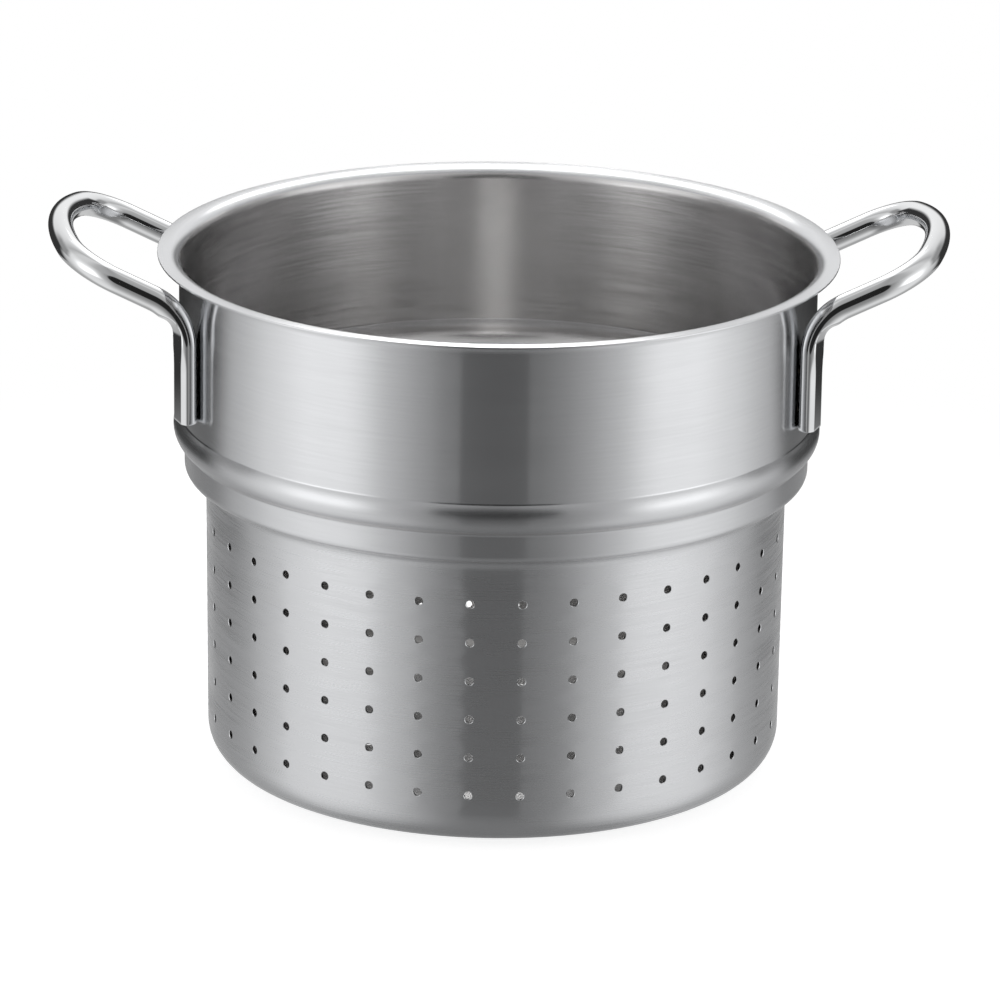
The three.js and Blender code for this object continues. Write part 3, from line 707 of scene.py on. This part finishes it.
def white_tent():
    """The material of the tent round the object: tall white panels at both sides, a white back and a pale
    top, with a black opening for the camera, its dark foot below, and dark gaps beside the back."""
    material, tree = new_material("lit studio tent")
    place = add_node(tree, "ShaderNodeTexCoord").outputs["Object"]
    way = add_node(tree, "ShaderNodeVectorMath", {"operation": "SUBTRACT"}, {
        0: place, 1: (0, 0, TENT_CENTRE * MM)})
    parts = add_node(tree, "ShaderNodeSeparateXYZ", inputs={"Vector": way})
    ahead = add_node(tree, "ShaderNodeMath", {"operation": "MULTIPLY"}, {0: parts.outputs["Y"], 1: -1.0})
    angle = add_node(tree, "ShaderNodeMath", {"operation": "ARCTAN2"}, {0: parts.outputs["X"], 1: ahead})
    bearing = add_node(tree, "ShaderNodeMath", {"operation": "DEGREES"}, {0: angle})
    centred = add_node(tree, "ShaderNodeMath", {"operation": "SUBTRACT"}, {0: bearing, 1: TENT_TURN})
    turn = add_node(tree, "ShaderNodeMath", {"operation": "ABSOLUTE"}, {0: centred})
    share = add_node(tree, "ShaderNodeMath", {"operation": "DIVIDE"}, {0: turn, 1: 180.0})
    height = add_node(tree, "ShaderNodeMath", {"operation": "DIVIDE"}, {
        0: parts.outputs["Z"], 1: TENT_RADIUS * MM})
    tilt = add_node(tree, "ShaderNodeMath", {"operation": "ARCSINE"}, {0: height})
    rise = add_node(tree, "ShaderNodeMath", {"operation": "DEGREES"}, {0: tilt})

    def patch(*edges):
        """A mask that steps softly from nothing to all between each pair of edges on a coordinate."""
        whole = 1.0
        for value, low, high in edges:
            step = add_node(tree, "ShaderNodeMapRange", {"interpolation_type": "SMOOTHSTEP"}, {
                "Value": value, "From Min": low, "From Max": high})
            whole = add_node(tree, "ShaderNodeMath", {"operation": "MULTIPLY"}, {0: whole, 1: step})
        return whole

    across = add_node(tree, "ShaderNodeMath", {"operation": "DIVIDE"}, {0: bearing, 1: OPENING_HALF_WIDTH})
    above = add_node(tree, "ShaderNodeMath", {"operation": "SUBTRACT"}, {0: rise, 1: OPENING_RISE})
    upward = add_node(tree, "ShaderNodeMath", {"operation": "DIVIDE"}, {0: above, 1: OPENING_HALF_HEIGHT})
    oval = add_node(tree, "ShaderNodeVectorMath", {"operation": "LENGTH"}, {
        0: add_node(tree, "ShaderNodeCombineXYZ", inputs={"X": across, "Y": upward})})

    panels = add_node(tree, "ShaderNodeValToRGB", {"stops": [(a / 180, level) for a, level in PANELS]}, {
        "Fac": share})
    canopy = add_node(tree, "ShaderNodeValToRGB", {"stops": [(a / 180, level) for a, level in CANOPY]}, {
        "Fac": share})
    overhead = add_node(tree, "ShaderNodeMath", {"operation": "MAXIMUM"}, {
        0: patch((rise, 30, 44)), 1: patch((turn, 105, 125), (rise, 16, 22))})
    light = add_node(tree, "ShaderNodeMix", {"data_type": "RGBA"}, {0: overhead, 6: panels, 7: canopy})
    for mask, colour in (
        # White panels at the sides, the white top of the back, and the bright strip down its middle
        (patch((turn, 36, 54), (turn, 86, 64), (rise, -10, 2), (rise, 34, 10)), (1.35, 1.35, 1.35, 1)),
        (patch((turn, 130, 158), (rise, 44, 54)), (1.0, 1.0, 1.0, 1)),
        (patch((turn, 162, 168), (rise, 34, 44), (rise, 72, 62)), (3.9, 3.85, 3.8, 1)),
        # The dim bottom, and the gaps between the sides and the back
        (patch((rise, -45, -70)), (0.2, 0.2, 0.2, 1)),
        (patch((turn, 86, 98), (turn, 136, 122), (rise, 8, 14), (rise, 40, 28)), (0.26, 0.26, 0.26, 1)),
        # The camera's foot and its opening, and the dark band low on the back
        (patch((bearing, -12.5, -11.5), (bearing, 10.4, 9.4), (rise, 2, -2), (rise, -38, -28)),
         (0.135, 0.135, 0.135, 1)),
        (patch((oval.outputs["Value"], 1.12, 0.9)), (0.015, 0.015, 0.015, 1)),
        (patch((turn, 102, 118), (rise, -15, -10), (rise, 21, 14)), (0.03, 0.03, 0.03, 1)),
    ):
        light = add_node(tree, "ShaderNodeMix", {"data_type": "RGBA"}, {0: mask, 6: light, 7: colour})
    glow = add_node(tree, "ShaderNodeEmission", inputs={"Color": light, "Strength": 1.25})
    add_node(tree, "ShaderNodeOutputMaterial", inputs={"Surface": glow})
    material.cycles.emission_sampling = "NONE"
    return material


def studio():
    """White background, a lit tent that only the object and the floor see, and a pale floor that keeps the
    object's soft shadow and fades to white."""
    world = bpy.data.worlds.new("white background")
    bpy.context.scene.world = world
    world.use_nodes = True
    world.node_tree.nodes.clear()
    white = add_node(world.node_tree, "ShaderNodeBackground", inputs={"Color": (1, 1, 1, 1), "Strength": 1.0})
    add_node(world.node_tree, "ShaderNodeOutputWorld", inputs={"Surface": white})

    mesh = bmesh.new()
    bmesh.ops.create_uvsphere(
        mesh, u_segments=96, v_segments=48, radius=TENT_RADIUS * MM,
        matrix=Matrix.Translation((0, 0, TENT_CENTRE * MM)))
    tent = mesh_object("studio_tent", mesh)
    tent.data.materials.append(white_tent())
    tent.visible_camera = False
    tent.visible_shadow = False

    mesh = bmesh.new()
    bmesh.ops.create_circle(
        mesh, cap_ends=True, segments=96, radius=0.9 * TENT_RADIUS * MM,
        matrix=Matrix.Translation((0, 0, -0.2 * MM)))
    floor = mesh_object("studio_floor", mesh)
    material, tree = new_material("white studio floor")
    place = add_node(tree, "ShaderNodeTexCoord").outputs["Object"]
    radius = add_node(tree, "ShaderNodeVectorMath", {"operation": "LENGTH"}, {0: place})
    fade = add_node(tree, "ShaderNodeMapRange", {"interpolation_type": "SMOOTHSTEP"}, {
        "Value": radius.outputs["Value"],
        "From Min": 0.3 * TENT_RADIUS * MM, "From Max": 0.8 * TENT_RADIUS * MM})
    pale = add_node(tree, "ShaderNodeBsdfDiffuse", inputs={"Color": linear("#c8c8c8")})
    glow = add_node(tree, "ShaderNodeEmission", inputs={"Color": (1, 1, 1, 1), "Strength": 0.75})
    lit = add_node(tree, "ShaderNodeAddShader", inputs={0: pale, 1: glow})
    clear = add_node(tree, "ShaderNodeEmission", inputs={"Color": (1, 1, 1, 1), "Strength": 1.0})
    faded = add_node(tree, "ShaderNodeMixShader", inputs={0: fade, 1: lit, 2: clear})
    camera_ray = add_node(tree, "ShaderNodeLightPath").outputs["Is Camera Ray"]
    both = add_node(tree, "ShaderNodeMixShader", inputs={0: camera_ray, 1: pale, 2: faded})
    add_node(tree, "ShaderNodeOutputMaterial", inputs={"Surface": both})
    floor.data.materials.append(material)
    floor.visible_glossy = False
    floor.visible_shadow = False


def photograph_camera():
    """The camera of the photograph: long lens, a little above the rim, rolled by a fraction of a degree."""
    rise, roll = math.radians(CAMERA_ELEVATION), math.radians(CAMERA_ROLL)
    forward = Vector((0, math.cos(rise), -math.sin(rise)))
    level_right = Vector((1, 0, 0))
    level_up = Vector((0, math.sin(rise), math.cos(rise)))
    right = level_right * math.cos(roll) + level_up * math.sin(roll)
    up = level_up * math.cos(roll) - level_right * math.sin(roll)
    place = CAMERA_TARGET - forward * CAMERA_DISTANCE
    axes = Matrix((right, up, -forward)).transposed().to_4x4()
    camera = bpy.data.objects.new("photograph_camera", bpy.data.cameras.new("photograph_camera"))
    camera.data.lens = CAMERA_LENS
    camera.data.sensor_width = 36
    camera.data.clip_end = 20
    around = Matrix.Rotation(math.radians(-CAMERA_TURN), 4, "Z")
    camera.matrix_world = around @ Matrix.Translation(place) @ axes
    bpy.context.scene.collection.objects.link(camera)
    bpy.context.scene.camera = camera


def main():
    bpy.context.scene.view_settings.view_transform = "Standard"
    photograph_camera()
    studio()

    shell_steel = brushed_stainless_steel()
    handle_steel = polished_stainless_steel()
    nugget_steel = weld_steel()

    shell = make_shell(shell_steel)
    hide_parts("basket_shell")
    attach(shell, "root")

    for node, side in (("handle_left", -1), ("handle_right", 1)):
        handle = make_handle("polished_" + node, side, handle_steel)
        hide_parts(node)
        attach(handle, "root")

    for name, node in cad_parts.items():
        if name.startswith("weld_"):
            node.data.materials.clear()
            node.data.materials.append(nugget_steel)


main()
